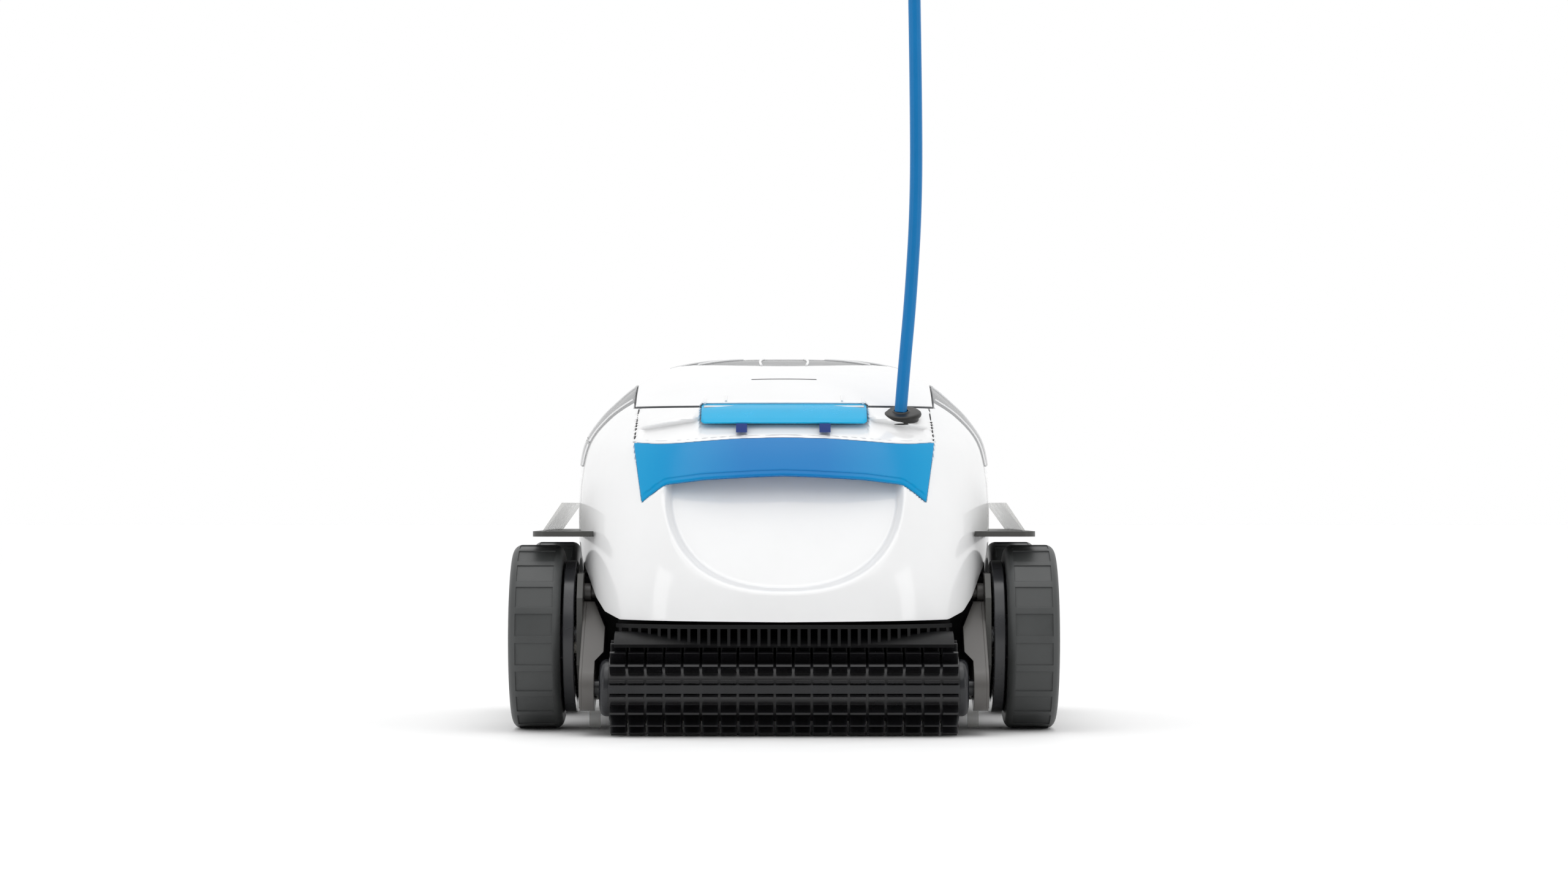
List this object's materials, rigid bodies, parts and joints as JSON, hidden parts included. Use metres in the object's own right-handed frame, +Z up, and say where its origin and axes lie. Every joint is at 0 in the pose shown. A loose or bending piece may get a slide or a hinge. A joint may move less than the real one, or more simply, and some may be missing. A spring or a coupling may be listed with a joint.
{
  "type": "pool cleaning robot",
  "caption": "Corded pool-cleaning robot: domed shell with hinged lid and grip band, treaded wheels, geared roller brush, pump outlet, filter basket and upright supply cable.",
  "frame": {"origin": "on the floor under the middle of the cleaner's box, without its cable", "axes": "+Z up, the brush end faces -Y, the width runs along X"},
  "size_m": [0.41, 0.4196, 0.615],
  "materials": {
    "white_shell": "glossy white moulding",
    "smoked_clear": "lightly smoked clear moulding",
    "blue_band": "glossy blue moulding",
    "light_blue": "glossy light blue moulding",
    "navy": "glossy navy moulding",
    "tyre_rubber": "matt dark grey rubber",
    "rim_grey": "dark grey moulding",
    "drum_grey": "semi-gloss dark grey moulding",
    "gear_white": "natural acetal",
    "arm_grey": "satin mid grey moulding",
    "fender_grey": "satin dark grey moulding",
    "brush_black": "glossy black foam rubber",
    "brush_core": "black moulding",
    "black_plastic": "black moulding",
    "basket_grey": "grey moulding",
    "basket_blue": "blue moulding",
    "filter_net": "fine woven nylon",
    "clear_flap": "clear soft rubber",
    "steel": "brushed stainless steel",
    "motor_can": "potted motor housing",
    "propeller_grey": "glass-filled moulding",
    "gland_black": "black rubber",
    "cable_blue": "smooth blue cable sheath",
    "swivel_grey": "grey moulding"
  },
  "bodies": {
    "chassis": {"front_shell": "white_shell", "rear_shell": "white_shell", "side_panels": "white_shell", "grip_pocket": "white_shell", "side_windows": "smoked_clear", "handle_band": "blue_band", "axle_caps": "rim_grey", "left_arm": "arm_grey", "right_arm": "arm_grey", "arm_covers": "arm_grey", "tie_rods": "arm_grey", "fenders": "fender_grey", "side_frames": "fender_grey", "base_tray": "black_plastic", "filter_well": "black_plastic", "inner_deck": "black_plastic", "brush_hood": "black_plastic", "inlet_grille": "black_plastic", "motor_cradles": "black_plastic", "intake_shaft": "black_plastic", "outlet_duct": "black_plastic", "filter_basket": "basket_grey", "basket_handle": "basket_blue", "filter_mesh": "filter_net", "side_flaps": "clear_flap", "fender_skirts": "clear_flap", "stub_axles": "steel", "hinge_pins": "steel", "drive_motors": "motor_can", "pump_motor": "motor_can", "cable_gland": "gland_black", "cable": "cable_blue", "cable_swivel": "swivel_grey"},
    "front_left_wheel": {"front_left_tyre": "tyre_rubber", "front_left_rim": "rim_grey", "left_ring_gear": "drum_grey"},
    "front_right_wheel": {"front_right_tyre": "tyre_rubber", "front_right_rim": "rim_grey", "right_ring_gear": "drum_grey"},
    "rear_left_wheel": {"rear_left_tyre": "tyre_rubber", "rear_left_rim": "rim_grey"},
    "rear_right_wheel": {"rear_right_tyre": "tyre_rubber", "rear_right_rim": "rim_grey"},
    "brush": {"brush_core": "brush_core", "brush_blades": "brush_black", "brush_end_caps": "brush_core", "brush_seam_bar": "brush_core"},
    "takeoff": {"takeoff_gear": "gear_white"},
    "idler": {"idler_gear": "gear_white"},
    "left_pinion": {"left_motor_pinion": "gear_white"},
    "right_pinion": {"right_motor_pinion": "gear_white"},
    "lid": {"lid": "white_shell", "outlet_window": "smoked_clear", "outlet_grille": "white_shell", "latch_pin": "steel"},
    "latch": {"lid_latch": "light_blue", "latch_hooks": "navy"},
    "impeller": {"propeller": "propeller_grey"},
    "flap": {"intake_flap": "black_plastic"}
  },
  "joints": [
    {"name": "front_left_wheel_spin", "type": "hinge", "parent": "chassis", "child": "front_left_wheel", "pos_m": [0, -0.085, 0.0695], "axis": [1, 0, 0], "continuous": true},
    {"name": "front_right_wheel_spin", "type": "hinge", "parent": "chassis", "child": "front_right_wheel", "pos_m": [0, -0.085, 0.0695], "axis": [1, 0, 0], "continuous": true},
    {"name": "rear_left_wheel_spin", "type": "hinge", "parent": "chassis", "child": "rear_left_wheel", "pos_m": [0, 0.1405, 0.0695], "axis": [1, 0, 0], "continuous": true},
    {"name": "rear_right_wheel_spin", "type": "hinge", "parent": "chassis", "child": "rear_right_wheel", "pos_m": [0, 0.1405, 0.0695], "axis": [1, 0, 0], "continuous": true},
    {"name": "left_pinion_spin", "type": "hinge", "parent": "chassis", "child": "left_pinion", "pos_m": [0, -0.04659, 0.06273], "axis": [1, 0, 0], "continuous": true},
    {"name": "right_pinion_spin", "type": "hinge", "parent": "chassis", "child": "right_pinion", "pos_m": [0, -0.04659, 0.06273], "axis": [1, 0, 0], "continuous": true},
    {"name": "takeoff_spin", "type": "hinge", "parent": "chassis", "child": "takeoff", "pos_m": [0, -0.12337, 0.0625], "axis": [1, 0, 0], "continuous": true},
    {"name": "idler_spin", "type": "hinge", "parent": "chassis", "child": "idler", "pos_m": [0, -0.14985, 0.0484], "axis": [1, 0, 0], "continuous": true},
    {"name": "brush_spin", "type": "hinge", "parent": "chassis", "child": "brush", "pos_m": [0, -0.175, 0.035], "axis": [1, 0, 0], "continuous": true},
    {"name": "lid_hinge", "type": "hinge", "parent": "chassis", "child": "lid", "pos_m": [0, 0.152, 0.262], "axis": [-1, 0, 0], "range_deg": [0, 100]},
    {"name": "latch_pull", "type": "hinge", "parent": "lid", "child": "latch", "pos_m": [0, -0.0925, 0.2432], "axis": [-1, 0, 0], "range_deg": [0, 30], "stiffness_Nm_per_rad": 0.15},
    {"name": "propeller_spin", "type": "hinge", "parent": "chassis", "child": "impeller", "pos_m": [0, 0.067, 0.227], "axis": [0, 0, 1], "continuous": true},
    {"name": "intake_flap_hinge", "type": "hinge", "parent": "chassis", "child": "flap", "pos_m": [0, -0.0815, 0.095], "axis": [-1, 0, 0], "range_deg": [0, 65]}
  ],
  "couplings": [
    {"joint": "left_pinion_spin", "follows": "front_left_wheel_spin", "ratio": 5.3333},
    {"joint": "takeoff_spin", "follows": "front_left_wheel_spin", "ratio": 5.3333},
    {"joint": "idler_spin", "follows": "front_left_wheel_spin", "ratio": -4.3636},
    {"joint": "brush_spin", "follows": "front_left_wheel_spin", "ratio": 6},
    {"joint": "right_pinion_spin", "follows": "front_right_wheel_spin", "ratio": 5.3333}
  ]
}
